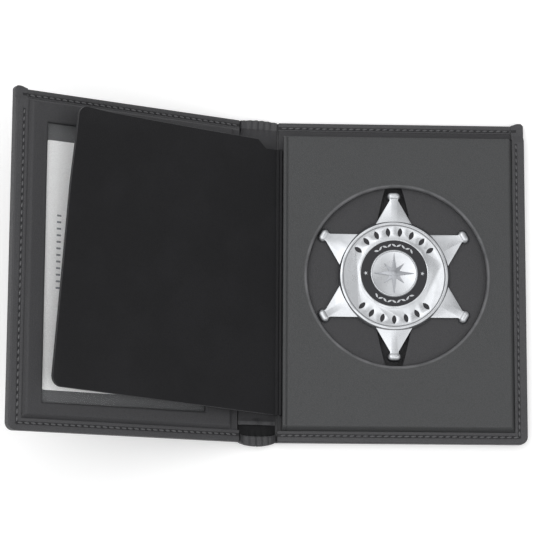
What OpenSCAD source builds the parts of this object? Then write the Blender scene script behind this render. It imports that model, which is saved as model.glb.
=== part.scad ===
// Badge and ID wallet: a leather case that opens like a book.
// The badge cover lies on the table, its outer face on z = 0 and its middle at the origin.
// The spine and the ID cover fold up on its left, and a leather flap swings between the two.

/* [Covers] */
// Width of a cover, from its fold line to its outer edge
cover_w = 84.2; // [78:0.1:96]
// Height of both covers
cover_h = 108; // [102:0.5:124]
// Thickness of the outer leather
cover_t = 0.9; // [0.7:0.05:1.2]
// Thickness of the stiffening board
board_t = 0.7; // [0.5:0.05:1.2]
// Thickness of the lining leather
lining_t = 0.4; // [0.3:0.05:0.6]
// Angle between the spine and the badge cover as the wallet lies open
rest_fold = 15; // [0:1:45]

/* [Turned hems] */
// Thickness of the outer leather where it is skived and turned over
hem_t = 0.5; // [0.3:0.05:0.7]
// Width of the hem along a cover's outer side
side_hem_w = 4.2; // [3:0.1:6]
// Width of the hem along the bottom
bottom_hem_w = 3.8; // [3:0.1:5]
// Width of the hem along the top, above the pocket mouths
top_hem_w = 2.8; // [2:0.1:2.8]
// Height that the side hem laps past the top edge
corner_lap = 0.8; // [0:0.1:1.5]
// Radius of the covers' bottom corners
bottom_r = 2.6; // [1:0.1:4]
// Radius of the covers' top corners
top_r = 1.2; // [0.8:0.1:2]

/* [Badge recess] */
// Thickness of the leather floor that the badge is pinned to
floor_t = 0.8; // [0.5:0.05:1.2]
// Room behind the floor for the badge's pin
pin_room = 2.1; // [2:0.05:3]
// Thickness of the pad between the floor and the face panel
pad_t = 1.2; // [0.8:0.05:2]
// Thickness of the face panel
face_t = 0.8; // [0.5:0.05:1.2]
// Distance from the cover's top edge to the panel's free top edge
face_drop = 5.5; // [5.2:0.1:9]
// Distance from the fold line to the panel's left edge
face_setback = 2.7; // [2.6:0.05:3.4]
// Run of the slope where the padding ends
slope_run = 1.2; // [0.8:0.1:2]
// Cut-out centre, right of the cover's middle
cutout_x = -1.35; // [-3:0.05:1]
// Cut-out centre, above the cover's middle
cutout_y = 1.35; // [-3:0.05:4]
// Width of the bevel round the cut-out
cutout_bevel = 0.35; // [0.1:0.05:0.6]
// Length of the lens-shaped slit in the floor
slit_l = 76; // [62:1:84]
// Width of the slit at its middle
slit_w = 14; // [12:0.5:20]
// Width of the leather strap behind the slit
strap_w = 9; // [6:0.5:12]
// Length of the strap across the slit
strap_l = 26; // [24:0.5:34]
// Thickness of the strap
strap_t = 0.5; // [0.3:0.05:0.6]

/* [Badge] */
// Radius from the badge's centre to the end of a ball tip
badge_r = 28.7; // [24:0.1:29]
// Badge centre, right of the cover's middle
badge_x = -2.35; // [-3.5:0.05:0]
// Badge centre, above the cover's middle
badge_y = 1.6; // [0:0.05:3]
// Radius of the round body
body_r = 18.7; // [16:0.1:20]
// Thickness of the star points at their edges
point_t = 0.8; // [0.5:0.05:1]
// Height of the ridge along each point
ridge_t = 1.4; // [1:0.05:1.6]
// Height of the round body's raised rim
rim_t = 1.8; // [1.5:0.05:2]
// Height of the lettering band between the rim and the seal
band_t = 1.4; // [1.2:0.05:1.6]
// Height of the whole badge, to the top of the seal
badge_t = 2.3; // [2.1:0.05:3]
// Outer radius of the enamel ring
enamel_r = 11.1; // [9:0.1:12]
// Radius of the round seal
seal_r = 8.05; // [6:0.05:8.6]
// Height of the seal's centre above the badge's centre
seal_lift = 0.8; // [0:0.1:1.2]
// Width of a ball tip
ball_w = 5; // [4:0.1:5.6]
// Length of a ball tip
ball_l = 3.4; // [2.6:0.1:4]
// Length of an enamel mark in the band
mark_l = 3; // [2:0.1:3.4]
// Width of an enamel mark
mark_w = 1.5; // [0.8:0.1:2]

/* [Badge pin] */
// Radius of the pin's stem
stem_r = 0.45; // [0.35:0.05:0.5]
// Distance from the round body's edge in to the pin's hinge
hinge_inset = 5.7; // [4.7:0.1:7.7]
// Distance from the round body's edge in to the catch
catch_inset = 5.7; // [4.7:0.1:7.7]
// Length of the catch along the stem
catch_l = 1.8; // [1.2:0.1:2.4]
// Width of the plates soldered to the badge's back
solder_w = 5; // [4:0.1:6]

/* [ID pocket] */
// Thickness of the window frame's leather
frame_t = 0.8; // [0.5:0.05:1.2]
// Thickness of the clear window
window_t = 0.25; // [0.2:0.05:0.4]
// Distance from the cover's outer edge to the window
window_side = 10.9; // [10:0.1:13]
// Distance from the cover's bottom edge to the window
window_low = 9; // [9:0.1:11]
// Distance from the fold line to the window
window_inner = 14.5; // [12:0.1:18]
// Distance from the cover's top edge to the window
window_top = 10.2; // [10:0.1:14]
// How far the clear window runs on behind the frame
window_tuck = 3.6; // [2:0.1:4]
// Distance from the cover's top edge to the frame's free top edge
frame_drop = 3.7; // [3.7:0.1:6]
// Distance from the fold line to the frame's inner edge
frame_setback = 2; // [1.6:0.1:4]
// Thickness of the ID card
card_t = 0.4; // [0.2:0.05:0.8]
// How far the card's bottom edge lies above the window's bottom edge
card_lift = 4; // [0:0.1:6]
// How far the card's top edge lies below the window's top edge
card_drop = 5.4; // [2:0.1:14]
// How far the card's outer edge lies inside the window's outer edge
card_inset = 0.4; // [0:0.1:1]
// How far the card's inner edge lies inside the window's inner edge
card_side = 1.2; // [0:0.1:6]

/* [Flap] */
// Length of the flap, from its hinge line to its free edge's bottom
flap_l = 81; // [70:0.5:81.5]
// How much nearer to the hinge the free edge's top lies
free_lean = 5; // [0:0.5:8]
// How far the flap's bottom edge rises towards the free edge
free_rise = 5; // [0:0.5:8]
// Height of the flap
flap_h = 92; // [80:0.5:94]
// Height of the flap's middle above the cover's middle
flap_y = 0.8; // [0:0.1:1.5]
// Thickness of one of the flap's two leathers
flap_ply = 0.6; // [0.4:0.05:0.8]
// Radius of the flap's free corners
flap_r = 4; // [2:0.5:8]
// Length of the narrow root between the hinge and the flap's shoulder
root_l = 5.2; // [4:0.1:8]
// Depth of the flap's shoulder at the root
shoulder = 3; // [2:0.1:5]
// Radius of the rolled hinge edge
roll_r = 0.6; // [0.4:0.05:0.6]
// Radius of the bead on top of the roll, on which the flap turns over
crease_r = 0.25; // [0.2:0.05:0.3]
// Width of the welt that is sewn in under the badge panel
welt_w = 5; // [3:0.1:7]
// Thickness of the welt's lip beside the panel
lip_t = 0.5; // [0.3:0.05:0.5]

/* [Clearances] */
// Gap between the flap and what it lies between when the wallet is closed
flap_gap = 0.3; // [0.3:0.05:0.6]
// Gap between the card and its pocket, on each face
card_gap = 0.3; // [0.25:0.05:0.5]
// Gap between the cut-out's wall and the ball tip that comes closest to it
badge_gap = 0.27; // [0.2:0.01:3]
// Gap round a fold line
fold_gap = 0.15; // [0.1:0.05:0.3]
// Gap between the rolled edge and the panel
roll_gap = 0.25; // [0.2:0.05:0.4]
// Running gap of the pin's hinge and catch
run_gap = 0.06; // [0.03:0.01:0.1]
// Gap round enamel that is set into metal
inlay_gap = 0.02; // [0.01:0.01:0.05]

/* [Hidden] */

$fn = 96;
// One overrun serves every cut
over = 0.5;
// Flats in a rounded corner that isn't square
corner_steps = 16;

// Heights in the badge cover, from its outer face
board_top = cover_t + board_t;
lining_top = board_top + lining_t;
top_hem_top = board_top + hem_t;
floor_top = lining_top + pin_room + floor_t;
pad_top = floor_top + pad_t;
face_top = pad_top + face_t;
badge_top = floor_top + badge_t;
badge_edge = lining_top + floor_t + face_t;
cutout_r = badge_r + norm([badge_x - cutout_x, badge_y - cutout_y]) + badge_gap;

// Heights in the ID cover, from its outer face
card_low = lining_top + card_gap;
window_bottom = card_low + card_t + card_gap;
frame_low = window_bottom + window_t;
frame_top = frame_low + frame_t;
id_edge = lining_top + frame_t;

// The flap lies on the ID side when open and over the badge when turned
flap_t = 2 * flap_ply;
roll_z = (badge_top + frame_top) / 2 + flap_gap + flap_ply;
flap_sag = (badge_top - frame_top) / 2;
roll_x = -cover_w / 2 + face_setback - roll_gap - roll_r;
root_gap = roll_r * 2 / 3;
crease_lift = roll_r - fold_gap;

// The closed wallet stacks the badge cover, the flap and the ID cover
closed_t = badge_top + flap_gap + flap_t + flap_gap + frame_top;
spine_w = closed_t - cover_t;
fold_x = -cover_w / 2;
fold_z = cover_t / 2;
fold_r = cover_t / 2;
leather_start = fold_r + fold_gap;
board_start = fold_r + hem_t + flap_gap;
spine_start = cover_t;

wall_t = hem_t;
stack_end = cover_w - wall_t;
stack_low = -cover_h / 2 + wall_t;
side_band = side_hem_w - wall_t;
bottom_band = bottom_hem_w - wall_t;
face_high = cover_h / 2 - face_drop;
frame_high = cover_h / 2 - frame_drop;
hem_slack = fold_gap;

// Straight extrusions along the width and along the height of a cover
module along_u(from, to) {
  translate([from, 0, 0]) rotate([90, 0, 90]) linear_extrude(to - from) children();
}

module along_v(from, to) {
  translate([0, to, 0]) rotate([90, 0, 0]) linear_extrude(to - from) children();
}

// A cover is drawn from its fold line (u = 0) outwards, v up its height, z from its outer face
module in_badge_cover() {
  translate([fold_x, 0, 0]) children();
}

module in_spine() {
  translate([fold_x, 0, fold_z]) rotate([0, rest_fold, 0])
    mirror([1, 0, 0]) translate([0, 0, -fold_z]) children();
}

module in_id_cover() {
  translate([fold_x - spine_w * cos(rest_fold), 0, fold_z + spine_w * sin(rest_fold)])
    rotate([0, 2 * rest_fold, 0]) mirror([1, 0, 0]) translate([0, 0, -fold_z]) children();
}

// The flap is drawn from its hinge axis outwards, z from that axis
module in_flap() {
  translate([roll_x, 0, roll_z]) rotate([0, 2 * rest_fold, 0]) mirror([1, 0, 0]) children();
}

module in_badge() {
  translate([badge_x, badge_y, floor_top]) children();
}

// What a rounded corner takes off a square one; dir points out of the corner
module corner_waste(at, r, dir) {
  translate(at) mirror([dir[0] < 0 ? 1 : 0, 0]) mirror([0, dir[1] < 0 ? 1 : 0])
    difference() {
      translate([-r, -r]) square(r + over);
      translate([-r, -r]) circle(r);
    }
}

// A cover's outline, drawn in from its outer edge by inset
module cover_outline(start, inset, lap) {
  right = cover_w - inset;
  low = -cover_h / 2 + inset;
  high = cover_h / 2 - inset;
  difference() {
    union() {
      translate([start, low]) square([right - start, high - low]);
      translate([cover_w - side_hem_w, 0]) square([side_hem_w - inset, high + lap]);
    }
    corner_waste([right, low], bottom_r - inset, [1, -1]);
    corner_waste([right, high + lap], top_r - inset, [1, 1]);
  }
}

// Outer leather with its edges turned over the stack inside it.
// edge is the height of the stack under the hems, mouth the height of the pocket's free edge.
module cover_leather(edge, mouth) {
  drop = edge - top_hem_top;
  mouth_end = mouth + hem_slack;
  linear_extrude(cover_t) cover_outline(leather_start, 0, corner_lap);
  difference() {
    intersection() {
      linear_extrude(edge + hem_t) cover_outline(board_start, 0, corner_lap);
      union() {
        along_u(cover_w - side_hem_w, cover_w)
          polygon([
            [-cover_h / 2, 0],
            [cover_h / 2 + corner_lap, 0],
            [cover_h / 2 + corner_lap, top_hem_top + hem_t],
            [mouth_end + drop, top_hem_top + hem_t],
            [mouth_end, edge + hem_t],
            [-cover_h / 2, edge + hem_t],
          ]);
        translate([board_start, -cover_h / 2, 0])
          cube([cover_w - board_start, bottom_hem_w, edge + hem_t]);
        translate([board_start, cover_h / 2 - top_hem_w, 0])
          cube([cover_w - board_start, top_hem_w, top_hem_top]);
      }
    }
    // Room for the stack, which runs under the hems
    intersection() {
      translate([0, 0, cover_t]) linear_extrude(edge - cover_t) cover_outline(0, wall_t, 0);
      along_u(0, cover_w)
        polygon([
          [-cover_h / 2, cover_t],
          [cover_h / 2, cover_t],
          [cover_h / 2, board_top],
          [cover_h / 2 - top_hem_w, board_top],
          [cover_h / 2 - top_hem_w, top_hem_top],
          [mouth_end + drop, top_hem_top],
          [mouth_end, edge],
          [-cover_h / 2, edge],
        ]);
    }
  }
}

// A flat sheet in the stack, inside the turned edge
module stack_sheet(start, low, thick) {
  translate([0, 0, low]) linear_extrude(thick) cover_outline(start, wall_t, 0);
}

// Outline of a padded stack in section: low along a sewn band, high inside the slope.
// A side with no band stays high right up to its edge.
function flank(at, dir, band, lo, hi) =
  band > 0 ? [[at, lo], [at + dir * band, lo], [at + dir * (band + slope_run), hi]] : [[at, hi]];

function turned(points) = [for (i = [len(points) - 1:-1:0]) points[i]];

module flank_section(a, b, band_a, band_b, base, lo, hi) {
  polygon(concat(
    [[a, base]],
    flank(a, 1, band_a, lo, hi),
    turned(flank(b, -1, band_b, lo, hi)),
    [[b, base]]
  ));
}

function widened(band, grow) = band > 0 ? band + grow : 0;

// Solid under a padded surface that is sewn down along its outer side and its bottom.
// inner_band is the sewn band beside the fold line, or zero; grow runs the solid on past its edges.
module padded_block(start, mouth, inner_band, lo, hi, grow) {
  intersection() {
    along_v(stack_low - grow, mouth + grow)
      flank_section(start - grow, stack_end + grow, widened(inner_band, grow), side_band + grow,
        -grow, lo, hi);
    along_u(start - grow, stack_end + grow)
      flank_section(stack_low - grow, mouth + grow, bottom_band + grow, 0, -grow, lo, hi);
  }
}

// A leather of even thickness laid over such a surface, up to the pocket's mouth
module padded_sheet(start, mouth, inner_band, lo, hi, thick) {
  difference() {
    intersection() {
      padded_block(start, mouth, inner_band, lo + thick, hi + thick, over);
      linear_extrude(hi + thick + over) intersection() {
        cover_outline(start, wall_t, 0);
        translate([0, stack_low - over]) square([cover_w, mouth - stack_low + over]);
      }
    }
    padded_block(start, mouth, inner_band, lo, hi, 2 * over);
  }
}

module badge_cover_leather() {
  color("#3a3a3c") in_badge_cover() cover_leather(badge_edge, face_high);
}

module badge_cover_board() {
  color("#6b6257") in_badge_cover() stack_sheet(board_start, cover_t, board_t);
}

// The top hem covers the lining's upper margin
module pocket_lining() {
  intersection() {
    stack_sheet(board_start, board_top, lining_t);
    translate([0, stack_low, 0])
      cube([cover_w, cover_h / 2 - top_hem_w - stack_low, lining_top]);
  }
}

module badge_pocket_lining() {
  color("#545456") in_badge_cover() pocket_lining();
}

module recess_floor() {
  color("#4a4a4c") in_badge_cover() difference() {
    padded_sheet(face_setback, face_high, 0, lining_top, lining_top + pin_room, floor_t);
    translate([badge_x - fold_x, cutout_y, lining_top])
      linear_extrude(pin_room + floor_t + over) slit();
  }
}

// Lens shape: the overlap of two equal circles
module slit() {
  reach = slit_l / 2;
  half = slit_w / 2;
  arc_r = (reach * reach + half * half) / slit_w;
  intersection() {
    translate([half - arc_r, 0]) circle(arc_r);
    translate([arc_r - half, 0]) circle(arc_r);
  }
}

// Crosses the slit behind the badge; the pin's stem runs behind it
module badge_strap() {
  color("#2f2f31") in_badge()
    translate([-strap_l / 2, -strap_w / 2, -floor_t - strap_t]) cube([strap_l, strap_w, strap_t]);
}

module recess_pad() {
  right = stack_end - side_band - slope_run;
  low = stack_low + bottom_band + slope_run;
  color("#1c1c1e") in_badge_cover() difference() {
    translate([face_setback, low, floor_top]) cube([right - face_setback, face_high - low, pad_t]);
    translate([cutout_x - fold_x, cutout_y, floor_top - over])
      cylinder(r = cutout_r + cutout_bevel, h = pad_t + 2 * over);
  }
}

module badge_face_panel() {
  color("#505153") in_badge_cover() difference() {
    padded_sheet(face_setback, face_high, 0, lining_top + floor_t, pad_top, face_t);
    translate([cutout_x - fold_x, cutout_y, 0]) rotate_extrude()
      polygon([
        [0, pad_top - over],
        [cutout_r, pad_top - over],
        [cutout_r, face_top - cutout_bevel],
        [cutout_r + cutout_bevel + over, face_top + over],
        [0, face_top + over],
      ]);
  }
}

// Badge: sizes that follow from the ones above
vertex_r = badge_r - ball_l / 4;
point_spread = tan(30);
neck_w = ball_w * 0.56;
neck_y = vertex_r - neck_w / 2 / point_spread;
ball_r = ball_l / 2;
rim_w = (body_r - enamel_r) / 5;
rim_slope = rim_t - band_t;
pocket_z = point_t;
enamel_t = band_t - pocket_z;
collar_w = rim_w / 2;
mark_depth = enamel_t / 2;
mark_orbit = (body_r - rim_w - rim_slope + enamel_r + seal_lift + collar_w) / 2;
seal_rim_w = seal_r / 12;
seal_rim_t = badge_t - rim_slope;
seal_field_t = seal_rim_t - seal_rim_w / 2;

// One point of the star: a low roof, trimmed to the point's outline
module star_point() {
  half = vertex_r * point_spread;
  fall = (ridge_t - point_t) * half / (half - neck_w);
  intersection() {
    linear_extrude(ridge_t)
      polygon([
        [-half, 0], [half, 0], [neck_w / 2, neck_y], [neck_w / 2, badge_r - ball_r],
        [-neck_w / 2, badge_r - ball_r], [-neck_w / 2, neck_y],
      ]);
    along_v(0, badge_r)
      polygon([[-half, 0], [half, 0], [half, ridge_t - fall], [0, ridge_t], [-half, ridge_t - fall]]);
  }
}

module ball_tip() {
  side = (ball_w - ball_l) / 2;
  difference() {
    translate([0, badge_r - ball_r, 0]) {
      for (end = [-1, 1]) translate([end * side, 0, 0]) sphere(ball_r);
      translate([-side, 0, 0]) rotate([0, 90, 0]) cylinder(r = ball_r, h = 2 * side);
    }
    translate([-ball_w, 0, -ball_l]) cube([2 * ball_w, 2 * badge_r, ball_l]);
  }
}

// Leaf shape: the overlap of two equal circles
module leaf(long, wide) {
  leaf_r = (long * long + wide * wide) / (4 * wide);
  intersection() {
    translate([wide / 2 - leaf_r, 0]) circle(leaf_r);
    translate([leaf_r - wide / 2, 0]) circle(leaf_r);
  }
}

// Eight leaves over the seal and seven under it, standing on a circle
top_marks = 8;
low_marks = 7;
mark_step = 15.5;

module mark_ring(shrink) {
  for (i = [0:top_marks - 1])
    rotate((i - (top_marks - 1) / 2) * mark_step) translate([0, mark_orbit])
      leaf(mark_l - 2 * shrink, mark_w - 2 * shrink);
  for (i = [0:low_marks - 1])
    rotate(180 + (i - (low_marks - 1) / 2) * mark_step) translate([0, mark_orbit])
      leaf(mark_l - 2 * shrink, mark_w - 2 * shrink);
}

module badge_star() {
  color("#d9dbdd") in_badge() difference() {
    union() {
      for (i = [0:5]) rotate(60 * i) {
        star_point();
        ball_tip();
      }
      rotate_extrude() polygon([
        [0, 0],
        [body_r, 0],
        [body_r, point_t],
        [body_r - rim_w / 2, rim_t],
        [body_r - rim_w, rim_t],
        [body_r - rim_w - rim_slope, band_t],
        [0, band_t],
      ]);
      translate([0, seal_lift, 0]) cylinder(r = enamel_r + collar_w, h = band_t + rim_slope / 2);
    }
    translate([0, seal_lift, pocket_z]) cylinder(r = enamel_r, h = badge_t);
    translate([0, 0, band_t - mark_depth]) linear_extrude(badge_t) mark_ring(0);
  }
}

module enamel_marks() {
  color("#303034") in_badge()
    translate([0, 0, band_t - mark_depth]) linear_extrude(mark_depth) mark_ring(inlay_gap);
}

module enamel_ring() {
  color("#3c3c40") in_badge() translate([0, seal_lift, pocket_z]) difference() {
    cylinder(r = enamel_r - inlay_gap, h = enamel_t);
    translate([0, 0, -over]) cylinder(r = seal_r + inlay_gap, h = enamel_t + 2 * over);
  }
}

module badge_seal() {
  color("#e4e6e8") in_badge() translate([0, seal_lift, 0]) rotate_extrude() polygon([
    [0, pocket_z],
    [seal_r, pocket_z],
    [seal_r, seal_rim_t - seal_rim_w / 2],
    [seal_r - seal_rim_w / 2, seal_rim_t],
    [seal_r - seal_rim_w, seal_rim_t],
    [seal_r - seal_rim_w, seal_field_t],
    [0, seal_field_t],
  ]);
}

// A compass rose: four long rays, four short ones, a boss in the middle
module seal_rosette() {
  rise = badge_t - seal_field_t;
  ray = seal_r - 2 * seal_rim_w;
  boss = ray / 4;
  boss_r = (boss * boss + rise * rise) / (2 * rise);
  color("#c4c6c9") in_badge() translate([0, seal_lift, seal_field_t]) {
    for (i = [0:3]) rotate(90 * i) {
      rose_ray(ray, boss, rise * 0.6);
      rotate(45) rose_ray(ray * 0.7, boss, rise * 0.4);
    }
    intersection() {
      translate([0, 0, rise - boss_r]) sphere(boss_r);
      cylinder(r = boss, h = rise);
    }
  }
}

module rose_ray(long, wide, high) {
  linear_extrude(high) polygon([[0, 0], [wide / 2, wide / 2], [0, long], [-wide / 2, wide / 2]]);
}

// Badge pin, below the badge's back (z = 0 here), in the slit and behind the strap
stem_z = -floor_t - strap_t - 2 * run_gap - stem_r;
solder_t = strap_t / 2;
solder_l = solder_w * 0.8;
hinge_y = body_r - hinge_inset;
catch_y = body_r - catch_inset;
barrel_r = stem_r * 5 / 3;
barrel_l = solder_w / 3;
rivet_r = stem_r * 2 / 3;
ear_t = strap_t;
ear_start = barrel_l / 2 + run_gap;
rotor_in = stem_r + run_gap;
rotor_out = stem_r * 2;
housing_in = rotor_out + run_gap;
housing_out = housing_in + ear_t * 0.6;
mouth_angle = 40;
lever_l = housing_out * 1.1;
lever_t = ear_t * 0.8;
tip_l = 3 * stem_r;
stem_end = catch_y + catch_l / 2 + lever_t + tip_l;

module solder_plate(y) {
  translate([-solder_w / 2, y - solder_l / 2, -solder_t]) cube([solder_w, solder_l, solder_t]);
}

module pin_hinge_base() {
  color("#b9bbbd") in_badge() {
    solder_plate(hinge_y);
    for (side = [0, 1]) mirror([side, 0, 0]) difference() {
      union() {
        translate([ear_start, hinge_y - barrel_r, stem_z])
          cube([ear_t, 2 * barrel_r, -stem_z - solder_t / 2]);
        translate([ear_start, hinge_y, stem_z]) rotate([0, 90, 0]) cylinder(r = barrel_r, h = ear_t);
      }
      translate([0, hinge_y, stem_z]) rotate([0, 90, 0])
        cylinder(r = rivet_r + inlay_gap, h = solder_w);
    }
  }
}

module pin_hinge_rivet() {
  half = ear_start + ear_t + inlay_gap;
  color("#8f9194") in_badge() translate([0, hinge_y, stem_z]) rotate([0, 90, 0]) {
    translate([0, 0, -half]) cylinder(r = rivet_r, h = 2 * half);
    for (side = [0, 1]) mirror([0, 0, side]) translate([0, 0, half])
      cylinder(r = rivet_r * 1.5, h = rivet_r / 2);
  }
}

module pin_stem() {
  color("#c9cbcd") in_badge() translate([0, hinge_y, stem_z]) difference() {
    union() {
      translate([-barrel_l / 2, 0, 0]) rotate([0, 90, 0]) cylinder(r = barrel_r, h = barrel_l);
      rotate([90, 0, 0]) rotate_extrude() polygon([
        [0, barrel_r / 2],
        [stem_r, barrel_r / 2],
        [stem_r, hinge_y + stem_end - tip_l],
        [0, hinge_y + stem_end],
      ]);
    }
    translate([-barrel_l, 0, 0]) rotate([0, 90, 0])
      cylinder(r = rivet_r + run_gap, h = 2 * barrel_l);
  }
}

// A round housing whose mouth faces away from the badge, so that the stem can drop out of it
module catch_housing() {
  reach = 2 * housing_out;
  color("#b9bbbd") in_badge() {
    solder_plate(-catch_y);
    translate([-ear_t, -catch_y - catch_l / 2, stem_z + (housing_in + housing_out) / 2])
      cube([2 * ear_t, catch_l, -stem_z - (housing_in + housing_out) / 2 - solder_t / 2]);
    translate([0, 0, stem_z]) along_v(-catch_y - catch_l / 2, -catch_y + catch_l / 2) difference() {
      circle(housing_out);
      circle(housing_in);
      polygon([
        [0, 0],
        [-reach * sin(mouth_angle), -reach * cos(mouth_angle)],
        [reach * sin(mouth_angle), -reach * cos(mouth_angle)],
      ]);
    }
  }
}

// Safety rotor inside the housing, drawn open: its slot lines up with the housing's mouth
module catch_rotor() {
  color("#9a9c9f") in_badge() translate([0, 0, stem_z]) {
    along_v(-catch_y - catch_l / 2 - run_gap - lever_t, -catch_y + catch_l / 2) rotor_section();
    along_v(-catch_y - catch_l / 2 - run_gap - lever_t, -catch_y - catch_l / 2 - run_gap)
      translate([rotor_in, -lever_t / 2]) square([lever_l - rotor_in, lever_t]);
  }
}

module rotor_section() {
  difference() {
    circle(rotor_out);
    circle(rotor_in);
    translate([-rotor_in, -2 * rotor_out]) square([2 * rotor_in, 2 * rotor_out]);
  }
}

module spine_leather() {
  color("#38383a") in_spine() {
    translate([0, -cover_h / 2, 0]) cube([spine_w, cover_h, cover_t]);
    for (w = [0, spine_w]) translate([w, 0, fold_z]) along_v(-cover_h / 2, cover_h / 2) circle(fold_r);
    translate([spine_start, -cover_h / 2, 0])
      cube([spine_w - 2 * spine_start, bottom_hem_w, cover_t + hem_t]);
    translate([spine_start, cover_h / 2 - top_hem_w, 0])
      cube([spine_w - 2 * spine_start, top_hem_w, cover_t + hem_t]);
  }
}

module spine_lining() {
  color("#444446") in_spine() translate([spine_start, -cover_h / 2 + bottom_hem_w, cover_t])
    cube([spine_w - 2 * spine_start, cover_h - bottom_hem_w - top_hem_w, lining_t]);
}

module id_cover_leather() {
  color("#3a3a3c") in_id_cover() cover_leather(id_edge, frame_high);
}

module id_cover_board() {
  color("#6b6257") in_id_cover() stack_sheet(board_start, cover_t, board_t);
}

module id_pocket_lining() {
  color("#5c5c5e") in_id_cover() pocket_lining();
}

window_w = cover_w - window_side - window_inner;
window_h = cover_h - window_low - window_top;
window_u = window_inner;
window_v = -cover_h / 2 + window_low;
card_w = window_w - card_inset - card_side;
card_h = window_h - card_lift - card_drop;
frame_band = side_band / 2;

module id_window_frame() {
  color("#464648") in_id_cover() difference() {
    padded_sheet(frame_setback, frame_high, frame_band, lining_top, frame_low, frame_t);
    translate([window_u, window_v, lining_top]) cube([window_w, window_h, frame_top]);
  }
}

module id_window() {
  color("#dfe3e6", 0.3) in_id_cover()
    translate([window_u - window_tuck, window_v - window_tuck, window_bottom])
      cube([window_w + 2 * window_tuck, window_h + 2 * window_tuck, window_t]);
}

module id_card() {
  color("#f4f4f2") in_id_cover()
    translate([window_u + card_side, window_v + card_lift, card_low])
      cube([card_w, card_h, card_t]);
}

flap_low = flap_y - flap_h / 2;
flap_high = flap_y + flap_h / 2;
root_high = flap_high - shoulder;

function unit(v) = v / norm(v);

function swung(v, angle) = [v[0] * cos(angle) - v[1] * sin(angle), v[0] * sin(angle) + v[1] * cos(angle)];

// Points that round the corner at, which need not be square; the outline runs counterclockwise
function rounded(before, at, after, r) =
  let (
    a = unit(before - at),
    b = unit(after - at),
    half = acos(a * b) / 2,
    centre = at + r / sin(half) * unit(a + b),
    first = at + r / tan(half) * a - centre
  )
  [for (i = [0:corner_steps]) centre + swung(first, (180 - 2 * half) * i / corner_steps)];

// Narrow root beside the hinge, a slanted shoulder above it, a free edge that leans, round free corners
module flap_outline() {
  low_start = [root_l + shoulder, flap_low];
  low_corner = [flap_l, flap_low + free_rise];
  high_corner = [flap_l - free_lean, flap_high];
  high_end = [root_l + shoulder, flap_high];
  polygon(concat(
    [[root_gap, flap_low], low_start],
    rounded(low_start, low_corner, high_corner, flap_r),
    rounded(low_corner, high_corner, high_end, flap_r),
    [high_end, [root_l, root_high], [root_gap, root_high]]
  ));
}

module flap_front_leather() {
  color("#2c2c2e") in_flap() translate([0, 0, -flap_sag]) linear_extrude(flap_ply) flap_outline();
}

module flap_back_leather() {
  color("#303032") in_flap() translate([0, 0, -flap_sag - flap_ply])
    linear_extrude(flap_ply) flap_outline();
}

// The flap's edge rolled along the welt. The roll goes along with the ID cover,
// and the flap turns over on the bead that lies on top of it.
module flap_hinge_roll() {
  color("#29292b") in_flap() along_v(flap_low, root_high) {
    circle(roll_r);
    translate([0, crease_lift]) circle(crease_r);
  }
}

// Sewn in under the panel's left edge, its lip turned up beside that edge to carry the flap
module flap_welt() {
  color("#29292b") in_badge_cover() {
    translate([face_setback - lip_t, flap_low, lining_top]) cube([welt_w, root_high - flap_low, pin_room]);
    translate([face_setback - lip_t, flap_low, lining_top])
      cube([lip_t, root_high - flap_low, roll_z - roll_r - roll_gap - lining_top]);
  }
}

badge_cover_leather();
badge_cover_board();
badge_pocket_lining();
recess_floor();
badge_strap();
recess_pad();
badge_face_panel();
badge_star();
badge_seal();
seal_rosette();
enamel_ring();
enamel_marks();
pin_hinge_base();
pin_hinge_rivet();
pin_stem();
catch_housing();
catch_rotor();
spine_leather();
spine_lining();
id_cover_leather();
id_cover_board();
id_pocket_lining();
id_window();
id_window_frame();
id_card();
flap_welt();
flap_hinge_roll();
flap_front_leather();
flap_back_leather();
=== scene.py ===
# %% [markdown]
# # A leather badge and ID wallet, lying open
# The wallet opens like a book. The right cover lies on the table and holds a star badge in a
# round recess. The left cover is raised on its spine and holds an ID card behind a clear window.
# A leather flap is hinged between the two.
# The CAD model gives every size and every moving body. It could be shown as it is, but its
# solids are plain and their edges sharp. So this script loads it as a fixed frame and puts
# softer, finer pieces in the places of the plain solids.

# %% Load the frame
import math
import random

import bmesh
import bpy
from mathutils import Matrix, Vector, noise


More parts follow.
